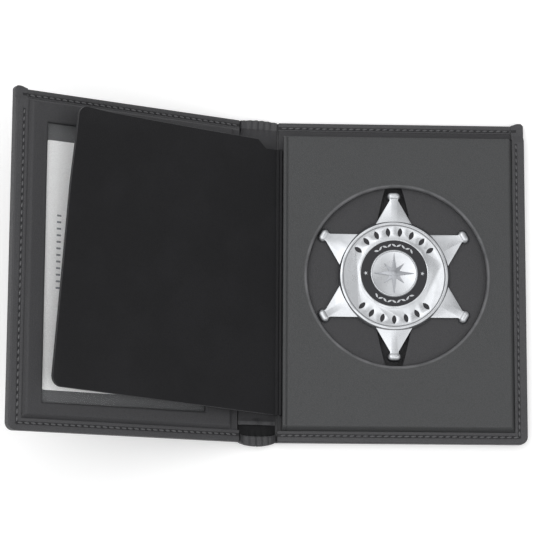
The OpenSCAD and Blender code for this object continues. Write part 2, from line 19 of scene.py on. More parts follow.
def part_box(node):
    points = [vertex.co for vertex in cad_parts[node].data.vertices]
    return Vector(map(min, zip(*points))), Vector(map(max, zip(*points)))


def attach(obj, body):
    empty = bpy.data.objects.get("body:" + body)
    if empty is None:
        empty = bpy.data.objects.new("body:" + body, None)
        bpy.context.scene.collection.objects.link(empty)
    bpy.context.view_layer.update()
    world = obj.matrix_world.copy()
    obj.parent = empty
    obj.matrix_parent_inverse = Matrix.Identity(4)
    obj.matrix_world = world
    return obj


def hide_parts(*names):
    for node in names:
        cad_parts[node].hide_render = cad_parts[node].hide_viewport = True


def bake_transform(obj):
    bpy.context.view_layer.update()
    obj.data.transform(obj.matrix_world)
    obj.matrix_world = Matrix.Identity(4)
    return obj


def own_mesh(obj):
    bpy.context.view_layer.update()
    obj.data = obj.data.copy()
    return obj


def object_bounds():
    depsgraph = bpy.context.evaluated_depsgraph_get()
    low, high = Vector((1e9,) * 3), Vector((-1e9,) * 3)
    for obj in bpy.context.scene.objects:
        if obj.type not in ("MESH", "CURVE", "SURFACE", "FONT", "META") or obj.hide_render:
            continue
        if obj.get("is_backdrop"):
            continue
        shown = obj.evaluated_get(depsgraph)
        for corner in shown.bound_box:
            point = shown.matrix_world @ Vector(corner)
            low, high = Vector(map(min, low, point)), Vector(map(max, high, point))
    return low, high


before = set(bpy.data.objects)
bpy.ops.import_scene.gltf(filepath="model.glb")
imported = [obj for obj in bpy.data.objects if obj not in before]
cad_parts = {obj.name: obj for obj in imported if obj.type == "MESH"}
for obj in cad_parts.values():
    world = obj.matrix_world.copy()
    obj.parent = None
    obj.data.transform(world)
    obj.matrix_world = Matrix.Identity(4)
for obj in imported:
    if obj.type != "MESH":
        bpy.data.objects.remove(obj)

cad_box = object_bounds()

# %% [markdown]
# ## The wallet's own measures
# A leather worker cuts everything flat and folds it afterwards, so each piece here is also drawn
# flat, in millimetres. u runs out from the fold line, v runs up the cover's height, and z rises
# from the cover's outer face.
# These sizes could be measured off the loaded solids, but a named size says what it is. They
# repeat the CAD source's, so a new piece lands exactly where its solid is.

# %% Measures in millimetres
MM = 0.001
COVER_W, COVER_H = 84.2, 108.0  # one cover
LEATHER, HEM, LINING, FACE = 0.9, 0.5, 0.4, 0.8  # thicknesses
SIDE_HEM, BOTTOM_HEM, TOP_HEM = 4.2, 3.8, 2.8  # widths of the turned hems
BOTTOM_R, TOP_R, LAP = 2.6, 1.2, 0.8  # corner radii; the side hem's rise at the top
FOLD_X, FOLD_Z, SPINE_W = -42.1, 0.45, 12.15  # first fold line, and the way to the second
REST_FOLD = math.radians(15)  # turn at each fold, as the wallet lies open
ROLL_X, ROLL_Z = -40.25, 6.525  # middle of the flap's rolled edge
FLOOR_TOP, FACE_TOP = 4.9, 6.9  # recess floor and face panel above the table
CUTOUT, CUTOUT_R = Vector((-1.35, 1.35)), 30.0  # the round cut-out
BADGE = Vector((-2.35, 1.6))  # middle of the badge
STACK_LOW, STACK_END = -COVER_H / 2 + HEM, COVER_W - HEM  # edges of what the hems hold
TRAY_START = 0.6  # where a cover's leather starts past its fold
print("one cover:", COVER_W, "x", COVER_H, "mm")

# %% [markdown]
# ## Where each cover lies
# The wallet lies open with its spine raised 15 degrees and its ID cover 30 degrees.
# Every piece could be drawn in its raised place, but slanting numbers are hard to read. Instead,
# one matrix for each rigid part takes a flat piece in millimetres to its place in metres.
# The parts left of the fold are mirrored, because their u axis runs to the left.

# %% One placing matrix for each part
TO_METRES = Matrix.Scale(MM, 4)


def raised(x, z, tilt):
    """The place of a mirrored part that is tilted about the line at x and z."""
    tilted = Matrix.Translation((x, 0, z)) @ Matrix.Rotation(tilt, 4, "Y")
    return TO_METRES @ tilted @ Matrix.Scale(-1, 4, (1, 0, 0))


second_fold = (FOLD_X - SPINE_W * math.cos(REST_FOLD), FOLD_Z + SPINE_W * math.sin(REST_FOLD))
BADGE_SIDE = TO_METRES @ Matrix.Translation((FOLD_X, 0, 0))
ID_SIDE = raised(*second_fold, 2 * REST_FOLD) @ Matrix.Translation((0, 0, -FOLD_Z))
FLAP_SIDE = raised(ROLL_X, ROLL_Z, 2 * REST_FOLD)
ON_BADGE = TO_METRES @ Matrix.Translation((BADGE.x, BADGE.y, FLOOR_TOP))
far_corner = ID_SIDE @ Vector((COVER_W, COVER_H / 2, 0))
print("ID cover's far corner at", [round(c / MM, 1) for c in far_corner], "mm")

# %% [markdown]
# ## Making a finished piece
# Every piece ends in the same way: it is put in place, its faces are turned outwards, it gets
# smooth shading that stops at real edges, and it is tied to the body that it moves with.
# These steps could stand at each piece. As helpers they are said once, and a piece takes one line.

# %% Helpers that finish a piece
scene = bpy.context.scene
SHARP = math.radians(38)


def new_object(name, bm, place, *finishes):
    """An object from a mesh, with its place in the mesh."""
    bmesh.ops.transform(bm, matrix=place, verts=bm.verts)
    bmesh.ops.recalc_face_normals(bm, faces=bm.faces)
    mesh = bpy.data.meshes.new(name)
    bm.to_mesh(mesh)
    bm.free()
    for finish in finishes:
        mesh.materials.append(finish)
    mesh.shade_smooth()
    mesh.set_sharp_from_angle(angle=SHARP)
    obj = bpy.data.objects.new(name, mesh)
    scene.collection.objects.link(obj)
    return obj


def dress(obj, nodes=()):
    """Hides the solids that a piece stands for, and prints its number of faces."""
    if nodes:
        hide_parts(*nodes)
    print(f"{obj.name}: {len(obj.data.polygons)} faces")
    return obj


def piece(name, bm, place, finishes, body, nodes=()):
    """A finished piece that rides on one body."""
    obj = new_object(name, bm, place, *finishes)
    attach(obj, body)
    return dress(obj, nodes)


print("edges stay sharp from", round(math.degrees(SHARP)), "degrees")

# %% [markdown]
# ## Wiring a material
# A material is a tree of nodes that ends in the shader. Each link could be made by hand, but a
# small class keeps the trees readable: every method adds one node and returns its output.
# Patterns read Object coordinates, so they stay on the piece when it moves.

# %% Helpers for nodes


def rgb(hex_colour, share=1.0):
    """An sRGB colour as Blender's linear one, or a share of it for a darker shade."""
    parts = [int(hex_colour[i:i + 2], 16) / 255 for i in (0, 2, 4)]
    linear = [p / 12.92 if p < 0.04045 else ((p + 0.055) / 1.055) ** 2.4 for p in parts]
    return [c * share for c in linear] + [1.0]


def set_inputs(tree, node, inputs):
    """Links each input that is given a socket, and sets the others."""
    for key, value in inputs.items():
        if isinstance(value, bpy.types.NodeSocket):
            tree.links.new(value, node.inputs[key])
        else:
            node.inputs[key].default_value = value


def add_node(tree, kind, inputs=None, **settings):
    node = tree.nodes.new(kind)
    for key, value in settings.items():
        setattr(node, key, value)
    set_inputs(tree, node, inputs or {})
    return node


class Nodes:
    """A material being wired up."""

    def __init__(self, name):
        self.material = bpy.data.materials.new(name)
        self.material.use_nodes = True
        self.tree = self.material.node_tree
        self.shader = self.tree.nodes["Principled BSDF"]
        self.place = self.add("ShaderNodeTexCoord").outputs["Object"]

    def add(self, kind, inputs=None, **settings):
        return add_node(self.tree, kind, inputs, **settings)

    def noise(self, size_mm, detail=2.0, rough=0.5, place=None):
        inputs = {"Vector": place or self.place, "Scale": 1 / (size_mm * MM),
                  "Detail": detail, "Roughness": rough}
        return self.add("ShaderNodeTexNoise", inputs).outputs["Fac"]

    def cells(self, size_mm):
        """Distance from the edges of cells of a size."""
        inputs = {"Vector": self.place, "Scale": 1 / (size_mm * MM)}
        node = self.add("ShaderNodeTexVoronoi", inputs, feature="DISTANCE_TO_EDGE")
        return node.outputs["Distance"]

    def spread(self, value, low, high, to_low=0.0, to_high=1.0):
        inputs = {"Value": value, "From Min": low, "From Max": high,
                  "To Min": to_low, "To Max": to_high}
        return self.add("ShaderNodeMapRange", inputs).outputs["Result"]

    def maths(self, operation, a, b=0.0):
        return self.add("ShaderNodeMath", {0: a, 1: b}, operation=operation).outputs["Value"]

    def vector_maths(self, operation, a, b, output):
        node = self.add("ShaderNodeVectorMath", {0: a, 1: b}, operation=operation)
        return node.outputs[output]

    def blend(self, share, a, b):
        colours = {0: share, 6: a, 7: b}
        return self.add("ShaderNodeMix", colours, data_type="RGBA", blend_type="MIX").outputs[2]

    def bump(self, height, depth_mm, strength=1.0, after=None):
        inputs = {"Height": height, "Distance": depth_mm * MM, "Strength": strength}
        if after:
            inputs["Normal"] = after
        return self.add("ShaderNodeBump", inputs).outputs["Normal"]

    def finish(self, sockets):
        set_inputs(self.tree, self.shader, sockets)
        return self.material


print("a mid grey is", [round(c, 3) for c in rgb("808080")])

# %% [markdown]
# ## Leather
# The real leather is black, with a fine pebbled grain that greys it in soft light.
# A photograph could be laid over it, but a procedural grain has no seams and is as sharp from
# near as from far. Cells of a Voronoi texture give the pebbles, with their edges as the creases
# between them, which are darkened in colour as painted shade, and two noises give the pores and
# the slow change of tone. Cut edges are dyed dark, which also paints the shade in gaps, the flap's
# edges are lighter as a painted highlight, and the flesh side is left raw, so they get leathers of
# their own. The seams and the badge pocket's lining get darker leathers as painted shade, and the
# cut-out's rim and the spine lining's foot lighter tones as painted highlights.

# %% Leathers
PORE, SLOW_CHANGE = 0.22, 17
# a lighter grey, painted on the cut-out's rim as its highlight
RIM_HIGHLIGHT_GREY = "8e8e91"


def leather(name, colour, pebble=0.75, depth=0.05, rough=0.5, rim_highlight=None, uneven=0.3, gloss=0.3):
    """Grained leather, with the size and the depth of its pebbles in millimetres."""
    n = Nodes(name)
    pebbles = n.spread(n.cells(pebble), 0.0, 0.22)
    pores = n.noise(PORE, 1.0)
    slow = n.noise(SLOW_CHANGE, 3.0)
    patches = n.spread(slow, 0.35, 0.65, 0.0, uneven)
    # the creases between pebbles are darkened in colour: painted shade
    crease_shade = n.spread(pebbles, 0.0, 0.7, 0.35, 0.0)
    shade = n.blend(patches, rgb(colour), rgb(colour, 0.8))
    shade = n.blend(crease_shade, shade, rgb(colour, 0.45))
    # painted highlight: the lighter grey laid in patches on the cut-out's rim
    if rim_highlight:
        shade = n.blend(rim_highlight(n), shade, rgb(RIM_HIGHLIGHT_GREY))
    normal = n.bump(slow, 0.35, 0.25)
    normal = n.bump(pores, depth * 0.4, 0.6, normal)
    normal = n.bump(pebbles, depth, 0.8, normal)
    mottle = n.maths("ADD", n.maths("MULTIPLY", pebbles, 0.4), slow)
    roughness = n.spread(mottle, 0.3, 1.1, rough + 0.08, rough - 0.06)
    return n.finish({"Base Color": shade, "Roughness": roughness, "Normal": normal,
                     "Specular IOR Level": gloss})


def painted_rim_highlight(n):
    """A share that is high on the rim of the round cut-out, where a lighter grey is painted in
    patches as the rim's highlight.
    """
    flat = n.vector_maths("MULTIPLY", n.place, (1.0, 1.0, 0.0), "Vector")
    centre = (CUTOUT.x * MM, CUTOUT.y * MM, 0.0)
    distance = n.vector_maths("DISTANCE", flat, centre, "Value")
    on_rim = n.spread(distance, (CUTOUT_R + 1.1) * MM, (CUTOUT_R + 0.6) * MM)
    highlight_patches = n.spread(n.noise(6, 3.0), 0.3, 0.7, 0.15, 0.5)
    return n.maths("MULTIPLY", on_rim, highlight_patches)


COVER_LEATHER = leather("cover leather", "48484a", 0.7, 0.045, 0.5)
# the face panel carries the painted highlight on its cut-out's rim
PANEL_LEATHER = leather("panel leather", "474849", 0.62, 0.035, 0.55, painted_rim_highlight)
FRAME_LEATHER = leather("window frame leather", "3f3f41", 0.62, 0.04, 0.55)
FLAP_LEATHER = leather("flap leather", "1e1e20", 0.8, 0.04, 0.5, uneven=1.5, gloss=0.16)
# the flap's cut edges are lighter: a painted highlight
FLAP_EDGE_HIGHLIGHT = leather("flap's edge with painted highlight", "3c3c3e", 0.5, 0.03, 0.42)
# a darker leather for the seam grooves: painted shade
SEAM_SHADE_LEATHER = leather("leather with painted seam shade", "2b2b2d", 0.5, 0.03, 0.6)
# dark dyed cut edges, which also paint the shade in the recess and along the flap's hinge
DYED_EDGE_AND_SHADE = leather("dyed cut edge with painted shade", "2a2a2c", 0.4, 0.03, 0.5)
FLESH_SIDE = leather("flesh side", "18181a", 0.35, 0.06, 0.8)
# lining leather darkened as painted shade along the badge pocket's mouth; the spine lining shares
# it
LINING_DARKENED_AS_SHADE = leather("lining leather", "3c3c3e", 0.5, 0.025, 0.62)
# the pocket lining's own tone, also painted on the spine lining's curled foot as a highlight
POCKET_TONE_AND_FOLD_HIGHLIGHT = leather("pocket lining leather", "545456", 0.5, 0.025, 0.62)
FLOOR_LEATHER = leather("recess floor leather", "404042", 0.55, 0.03, 0.6)
print("leathers:", len(bpy.data.materials))

# %% [markdown]
# ## Hard finishes
# The badge is die-struck and silver plated: a metal shader with a low roughness that changes
# slightly, as hand polishing leaves it. Enamel and the clear window are glossy, so they have a
# coat, and thread, board, felt, card and ink only differ in colour, roughness and grain.
# The window could be refracting glass, but a renderer without caustics would shade the card
# behind it. It lets the light through by its alpha instead.

# %% Metal, enamel, plastic, thread, paper and felt
TARNISH = "8d8f92"
BRUSH_SQUEEZE = (1.0, 0.08, 1.0)


def metal(name, colour, rough, brush=0.5):
    """Plated or bare metal, with fine streaks along y."""
    n = Nodes(name)
    squeezed = n.add("ShaderNodeMapping", {"Vector": n.place, "Scale": BRUSH_SQUEEZE})
    streak = n.noise(0.12, 3.0, 0.6, squeezed.outputs["Vector"])
    cloud = n.noise(3.5, 4.0, 0.55)
    shade = n.blend(n.spread(cloud, 0.55, 0.85, 0.0, 0.35), rgb(colour), rgb(TARNISH))
    mottle = n.maths("ADD", n.maths("MULTIPLY", streak, brush), cloud)
    return n.finish({"Base Color": shade, "Metallic": 1.0,
                     "Roughness": n.spread(mottle, 0.4, 1.1, rough * 0.8, rough * 1.35),
                     "Normal": n.bump(streak, 0.004, 0.5, n.bump(cloud, 0.02, 0.2))})


def plain(name, colour, rough, grain_mm, depth, coat=0.0, **more):
    """A finish with one colour, a fine grain and maybe a coat of gloss."""
    n = Nodes(name)
    grain = n.noise(grain_mm, 3.0)
    share = n.spread(grain, 0.3, 0.7)
    return n.finish({"Base Color": n.blend(share, rgb(colour), rgb(colour, 0.9)),
                     "Roughness": n.spread(grain, 0.3, 0.7, rough * 0.9, rough * 1.1),
                     "Normal": n.bump(grain, depth, 0.4),
                     "Coat Weight": coat, "Coat Roughness": 0.08, **more})


SILVER = metal("silver plate", "b2b4b7", 0.27)
SATIN_SILVER = metal("satin silver", "95979b", 0.34, 0.9)
PIN_STEEL = metal("pin steel", "b4b6b9", 0.3, 1.0)
ENAMEL = plain("dark enamel", "26262a", 0.3, 0.8, 0.004, 0.25, **{"Specular IOR Level": 0.25})
THREAD = plain("waxed thread", "525254", 0.4, 0.15, 0.03)
BOARD = plain("stiffening board", "3a3632", 0.85, 0.4, 0.05)
FELT = plain("felt pad", "1c1c1e", 0.95, 0.3, 0.12)
CARD = plain("card stock", "ffffff", 0.4, 0.5, 0.004, 0.2)
INK = plain("grey ink", "8b8d92", 0.5, 0.3, 0.002)
CLEAR = plain("clear window", "e8ecee", 0.06, 6.0, 0.1, 1.0,
              **{"Alpha": 0.035, "Specular IOR Level": 0.6})
print("finishes:", len(bpy.data.materials))

# %% [markdown]
# ## Cutting, stepping and rounding
# Both face leathers are sheets with a hole and soft edges. A sheet could be made from a list of
# points, but operators do it with less to go wrong: a grid gives an outline, insets give rings
# round a hole, cuts give points to bend at, and an extrusion gives the thickness.

# %% Helpers for sheets
RIM_RINGS = [0.3, 0.3, 0.25, 0.2, 0.12, 0.1, 0.08, 0.05]
RIM_WIDTH = sum(RIM_RINGS)
EDGE_R = 0.35


def cut(bm, axis, places):
    """Cuts the mesh across one axis at each place, so that it has points to bend at."""
    normal = Vector((axis == 0, axis == 1, axis == 2))
    for at in places:
        bmesh.ops.bisect_plane(bm, geom=bm.verts[:] + bm.edges[:] + bm.faces[:], dist=1e-4,
                               plane_co=normal * at, plane_no=normal)


def steps(first, last, count):
    return [first + (last - first) * i / count for i in range(count + 1)]


def smooth(t):
    """Rises softly from 0 to 1."""
    t = min(max(t, 0.0), 1.0)
    return t * t * (3 - 2 * t)


def rolled_off(distance, radius=EDGE_R):
    """How far a rounded edge has dropped at a distance from it."""
    if distance >= radius:
        return 0.0
    gap = radius - max(distance, 0.0)
    return radius - math.sqrt(radius * radius - gap * gap)


def pulled(bm, faces, rise):
    """Extrudes faces and moves them up, or down for a negative rise."""
    made = bmesh.ops.extrude_face_region(bm, geom=faces)
    moved = [v for v in made["geom"] if isinstance(v, bmesh.types.BMVert)]
    bmesh.ops.translate(bm, vec=(0, 0, rise), verts=moved)


def ringed_hole(bm, rim):
    """Rings inside the face rim, ending in an open hole."""
    for width in RIM_RINGS:
        bmesh.ops.inset_region(bm, faces=[rim], thickness=width, use_even_offset=True,
                               use_boundary=True)
    bmesh.ops.delete(bm, geom=[rim], context="FACES_ONLY")


def round_corners(bm, corners, radius, segments=8):
    bmesh.ops.bevel(bm, geom=corners, offset=radius, segments=segments, profile=0.5,
                    affect="VERTICES", clamp_overlap=True, material=-1)


def rectangle(bm, low_u, low_v, high_u, high_v, radius, corner=lambda co: True):
    """A flat face with rounded corners, or only those that corner picks."""
    made = bmesh.ops.create_grid(bm, x_segments=1, y_segments=1, size=0.5)
    bmesh.ops.scale(bm, vec=(high_u - low_u, high_v - low_v, 1), verts=made["verts"])
    middle = ((low_u + high_u) / 2, (low_v + high_v) / 2, 0)
    bmesh.ops.translate(bm, vec=middle, verts=made["verts"])
    others = set(bm.faces) - set(made["verts"][0].link_faces)
    round_corners(bm, [v for v in made["verts"] if corner(v.co)], radius)
    return (set(bm.faces) - others).pop()


print("rings round a hole:", round(RIM_WIDTH, 2), "mm wide")

# %% [markdown]
# ## A padded leather
# The face panel and the window frame are the same kind of piece: leather glued over what fills
# it and pressed down to sewn bands at its sides.
# It could be the CAD solid with bevelled edges, but leather over a pad has no flat planes and no
# straight slopes. So it is made as a sheet: the hole's rings and the outline are filled, cut
# into a grid that is close where the leather slopes, and every point is lifted to the height
# that the filling and the maker's hand give it. Last it gets its thickness.

# %% The sheet maker
SLOPE, INNER_SLOPE = 1.7, 1.6
UP_SLOPE, OFF_SLOPE = 2.2, 0.2
WAVE_LENGTH, WAVE_SEED = 24, 3.7
CREASE_WIDTH, CREASE_REACH = 0.24, 0.5
BEAD_AT, BEAD_WIDTH = 0.75, 0.4
NEAR_EDGE = [0.05, 0.12, 0.22, 0.35]


def edge_middle(edge):
    return (edge.verts[0].co + edge.verts[1].co) / 2


def flat_sheet(start, mouth, hole, from_hole):
    """A flat sheet between a cover's hems, filled round its ringed hole."""
    bm = bmesh.new()
    hole(bm)
    rings = [e for e in bm.edges if len(e.link_faces) == 1]
    outline = rectangle(bm, start, STACK_LOW, STACK_END, mouth, BOTTOM_R - HEM,
                        lambda co: co.x > STACK_END - 1 and co.y < STACK_LOW + 1)
    border = list(outline.edges)
    bmesh.ops.delete(bm, geom=[outline], context="FACES_ONLY")
    outer_ring = [e for e in rings if from_hole(edge_middle(e)) > RIM_WIDTH / 2]
    bmesh.ops.triangle_fill(bm, use_beauty=True, edges=border + outer_ring)
    return bm


def padded_sheet(start, mouth, low, high, hole, from_hole, wave, rim, bead,
                 crease=None, inner_band=0):
    """A face leather that lies low on its sewn bands and high over its filling.

    wave is the height of its unevenness, rim the radius of the hole's edge and bead the height
    of the bead beside it. A crease is given by its place and depth, and inner_band is the width
    of a sewn band on the fold's side.
    """
    bm = flat_sheet(start, mouth, hole, from_hole)
    side, foot = STACK_END - (SIDE_HEM - HEM), STACK_LOW + (BOTTOM_HEM - HEM)
    inner = start + inner_band
    us = steps(side - UP_SLOPE, side + OFF_SLOPE, 8) + [start + d for d in NEAR_EDGE]
    us += steps(start, STACK_END, 18)
    vs = steps(foot - OFF_SLOPE, foot + UP_SLOPE, 8) + [mouth - d for d in NEAR_EDGE]
    vs += steps(STACK_LOW, mouth, 22)
    if crease:
        us += steps(crease[0] - CREASE_REACH, crease[0] + CREASE_REACH, 6)
    if inner_band:
        us += steps(inner - OFF_SLOPE, inner + UP_SLOPE - OFF_SLOPE, 7)
    cut(bm, 0, sorted(set(us)))
    cut(bm, 1, sorted(set(vs)))
    for vert in bm.verts:
        u, v = vert.co.x, vert.co.y
        lift = min(smooth((side - u) / SLOPE), smooth((v - foot) / SLOPE))
        if inner_band:
            lift = min(lift, smooth((u - inner) / INNER_SLOPE))
        z = low + (high - low) * lift
        z += lift * wave * noise.noise(Vector((u / WAVE_LENGTH, v / WAVE_LENGTH, WAVE_SEED)))
        if crease:
            z -= crease[1] * math.exp(-((u - crease[0]) / CREASE_WIDTH) ** 2)
        if not inner_band:
            z -= rolled_off(u - start)
        z -= rolled_off(mouth - v)
        from_rim = from_hole(vert.co)
        z += bead * math.exp(-((from_rim - BEAD_AT) / BEAD_WIDTH) ** 2) - rolled_off(from_rim, rim)
        vert.co.z = z
    pulled(bm, bm.faces[:], -FACE)
    return bm


print("face leather:", FACE, "mm thick")

# %% [markdown]
# ## The face panel
# This is the large grey leather beside the spine, glued over a felt pad and cut out in a round
# window for the badge. A boolean could cut the hole, but it leaves long thin faces that shade
# badly. Here the hole is a ringed circle from the start, so its edge has rings to roll over.

# %% Face panel
PANEL_START, PANEL_MOUTH, PANEL_LOW = 2.7, COVER_H / 2 - 5.5, 3.6
PANEL_CREASE = (4.05, 0.34)
cut_centre = Vector((CUTOUT.x - FOLD_X, CUTOUT.y))


def round_hole(bm):
    made = bmesh.ops.create_circle(bm, cap_ends=True, cap_tris=False, segments=144,
                                   radius=CUTOUT_R + RIM_WIDTH)
    bmesh.ops.translate(bm, vec=(cut_centre.x, cut_centre.y, 0), verts=made["verts"])
    ringed_hole(bm, made["verts"][0].link_faces[0])


def from_round_hole(co):
    return (Vector((co.x, co.y)) - cut_centre).length - CUTOUT_R


panel_sheet = padded_sheet(PANEL_START, PANEL_MOUTH, PANEL_LOW, FACE_TOP, round_hole,
                           from_round_hole, wave=0.16, rim=0.55, bead=0.14, crease=PANEL_CREASE)
piece("face_panel", panel_sheet, BADGE_SIDE, [PANEL_LEATHER], "badge_cover",
      ["badge_face_panel"])

# %% [markdown]
# ## The window frame on the ID side
# The frame is the same kind of leather, stretched over the clear sheet and sewn down on three
# sides, with an open top where the card goes in. It could be four strips, but the real one is cut
# from one piece. So the same sheet maker gives it its rectangular window with rolled edges.

# %% Window frame
FRAME_START, FRAME_MOUTH = 2.0, COVER_H / 2 - 3.7
FRAME_LOW, FRAME_TOP, FRAME_BAND = 2.8, 4.05, 1.85
WINDOW = (14.5, -45.0, 73.3, 43.8)


def square_hole(bm):
    low_u, low_v, high_u, high_v = WINDOW
    ringed_hole(bm, rectangle(bm, low_u - RIM_WIDTH, low_v - RIM_WIDTH, high_u + RIM_WIDTH,
                              high_v + RIM_WIDTH, RIM_WIDTH + 0.5))


def from_square_hole(co):
    low_u, low_v, high_u, high_v = WINDOW
    du = max(low_u - co.x, co.x - high_u)
    dv = max(low_v - co.y, co.y - high_v)
    return math.hypot(max(du, 0), max(dv, 0)) if max(du, dv) > 0 else max(du, dv)


frame_sheet = padded_sheet(FRAME_START, FRAME_MOUTH, FRAME_LOW, FRAME_TOP, square_hole,
                           from_square_hole, wave=0.1, rim=0.4, bead=0.06, inner_band=FRAME_BAND)
piece("window_frame", frame_sheet, ID_SIDE, [FRAME_LEATHER], "id_cover",
      ["id_window_frame"])

# %% [markdown]
# ## Working from a solid
# Some CAD solids already have the right form and only want softer edges. Such a piece could be
# drawn again from nothing, but a copy of the solid can't miss its place. The loaded mesh is
# loose triangles, so the copy is merged first, and then its sharp edges are bevelled.

# %% Helpers for copies
SQUARE = 60
EDGE_SLOPE = 0.8


def cad_copy(node, place):
    """The node's surface, flat and in millimetres, with whole faces."""
    bm = bmesh.new()
    bm.from_mesh(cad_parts[node].data)
    bmesh.ops.transform(bm, matrix=place.inverted(), verts=bm.verts)
    bmesh.ops.remove_doubles(bm, verts=bm.verts, dist=0.002)
    bmesh.ops.dissolve_limit(bm, angle_limit=math.radians(1), verts=bm.verts, edges=bm.edges)
    return bm


def sharp_edges(bm, least=SQUARE, keep=lambda middle: True):
    """Edges that turn by at least so many degrees, where keep is true of their middles."""
    return [e for e in bm.edges if e.is_manifold
            and e.calc_face_angle() > math.radians(least) and keep(edge_middle(e))]


def soften(bm, edges, width, segments=3):
    bmesh.ops.bevel(bm, geom=edges, offset=width, offset_type="OFFSET", segments=segments,
                    profile=0.5, affect="EDGES", clamp_overlap=True, material=-1)


def second_finish(bm, chosen):
    """Gives the chosen faces of a flat piece its second finish: painted shade in the seams, dye
    with painted shade on cut edges, and a painted highlight on the flap's edges and the lining's
    foot.
    """
    bmesh.ops.recalc_face_normals(bm, faces=bm.faces)
    for face in bm.faces:
        face.material_index = int(chosen(face))


def is_cut_edge(face):
    return abs(face.normal.z) < EDGE_SLOPE


print("solids that can be copied:", len(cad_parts))

# %% [markdown]
# ## The two covers
# The outer leather is turned over the boards and sewn down. Its edges are folds, so they are
# round, about as round as the stack is thick, while the edge of each turned hem is a clean cut.
# A fold could be spun from a profile, but the solid already has the steps where the hem drops at
# the pocket's mouth. So a copy gets a wide bevel on its outer edges and a fine one on its cut
# edges, and its points sink a little along the seams, where the thread pulls the leather in.
# The faces in these grooves get a darker leather, as painted shade.

# %% Covers with rounded folds
SIDE_SEAM, BOTTOM_SEAM, TOP_SEAM = COVER_W - 2.8, -COVER_H / 2 + 2.35, COVER_H / 2 - 1.9
SIDE_SEAM_END = 47.5
SEAM_WIDTH, SEAM_DEPTH = 0.5, 0.3
FOLD_R, CUT_R = 0.8, 0.14
HEM_FOOT, ON_HEM = 1.2, 1.9
HILL_FOOT = 0.2
ACROSS_SEAM = (-1, -0.7, -0.45, -0.2, 0, 0.2, 0.45, 0.7, 1)


def inside_outline(u, v):
    """Distance from a cover's outer edge, inwards."""
    top = COVER_H / 2 + (0 if u < COVER_W - SIDE_HEM - 0.01 else LAP)
    right, low, high = COVER_W - u, v + COVER_H / 2, top - v
    if right < BOTTOM_R and low < BOTTOM_R:
        return BOTTOM_R - math.hypot(BOTTOM_R - right, BOTTOM_R - low)
    if right < TOP_R and high < TOP_R:
        return TOP_R - math.hypot(TOP_R - right, TOP_R - high)
    return min(right, low, high)


def pressed_by_seam(u, v):
    """How deep the thread has pulled the leather in, from 0 to 1."""
    gaps = []
    if u < SIDE_SEAM + 0.3:
        gaps += [BOTTOM_SEAM - v, TOP_SEAM - v]
    if BOTTOM_SEAM - 0.3 < v < SIDE_SEAM_END:
        gaps.append(SIDE_SEAM - u)
    return max((math.exp(-(gap / SEAM_WIDTH) ** 2) for gap in gaps), default=0.0)


def gets_seam_shade(face):
    middle = face.calc_center_median()
    return not is_cut_edge(face) and middle.z > ON_HEM and pressed_by_seam(*middle.xy) > 0.45


def cover_outer(node, place):
    """A cover's leather with round folds, fine cut edges, pressed seams with painted shade in
    their grooves, and soft top corners.
    """
    bm = cad_copy(node, place)
    past_end = TRAY_START + 0.1
    soften(bm, sharp_edges(bm, keep=lambda m: m.x > past_end and inside_outline(m.x, m.y) < 0.05),
           FOLD_R, 5)
    soften(bm, sharp_edges(bm, keep=lambda m: m.x > past_end and m.z > HEM_FOOT
                           and inside_outline(m.x, m.y) > 0.7), CUT_R, 2)
    side_hem = steps(COVER_W - SIDE_HEM, COVER_W, 12)[1:-1]
    cut(bm, 0, [SIDE_SEAM + d for d in ACROSS_SEAM] + side_hem)
    cut(bm, 1, [seam + d for seam in (BOTTOM_SEAM, TOP_SEAM) for d in ACROSS_SEAM])
    cut(bm, 1, [SIDE_SEAM_END])
    # faces in the seam grooves get the darker seam leather, as painted shade
    second_finish(bm, gets_seam_shade)
    for vert in bm.verts:
        u, v, z = vert.co
        depth = SEAM_DEPTH * pressed_by_seam(u, v)
        if z > ON_HEM:
            vert.co.z -= depth
        elif z < 0.1:
            vert.co.z += depth
        if v > COVER_H / 2:
            across_hem = (u - COVER_W + SIDE_HEM) / SIDE_HEM
            hill = smooth(across_hem / 0.55) * smooth((1.1 - across_hem) / 0.3)
            vert.co.y = COVER_H / 2 + (v - COVER_H / 2) * (HILL_FOOT + (1 - HILL_FOOT) * hill)
    return bm


for body, place in (("badge_cover", BADGE_SIDE), ("id_cover", ID_SIDE)):
    node = f"{body}_leather"
    piece(f"{body}_outer", cover_outer(node, place), place, [COVER_LEATHER, SEAM_SHADE_LEATHER], body,
          [node])

# %% [markdown]
# ## The line that the spine follows
# The same sheet of leather runs on round the spine. An armature could bend it, but the export
# wants plain meshes, so the bend is worked out: the leather runs straight, turns in an arc round
# the first fold, runs straight over the spine and turns in an equal arc round the second.

# %% The bent line
BEND = 0.6
BEND_R = BEND / math.tan(REST_FOLD / 2)


def spine_line(s):
    """Middle of the leather at a distance s past the first fold, and its tilt."""
    at, tilt = Vector((FOLD_X + BEND, FOLD_Z)), 0.0
    s += BEND
    if s <= 0:
        return at + Vector((-s, 0)), tilt
    for run in (0, SPINE_W - 2 * BEND):
        at = at + min(s, run) * Vector((-math.cos(tilt), math.sin(tilt)))
        s -= run
        if run and s <= 0:
            return at, tilt
        centre = at + BEND_R * Vector((math.sin(tilt), math.cos(tilt)))
        tilt += min(s / (2 * BEND), 1.0) * REST_FOLD
        at = centre - BEND_R * Vector((math.sin(tilt), math.cos(tilt)))
        s -= 2 * BEND
        if s <= 0:
            return at, tilt
    return at + s * Vector((-math.cos(tilt), math.sin(tilt))), tilt


print("the spine's far end is tilted", round(math.degrees(spine_line(SPINE_W + 5)[1])), "degrees")

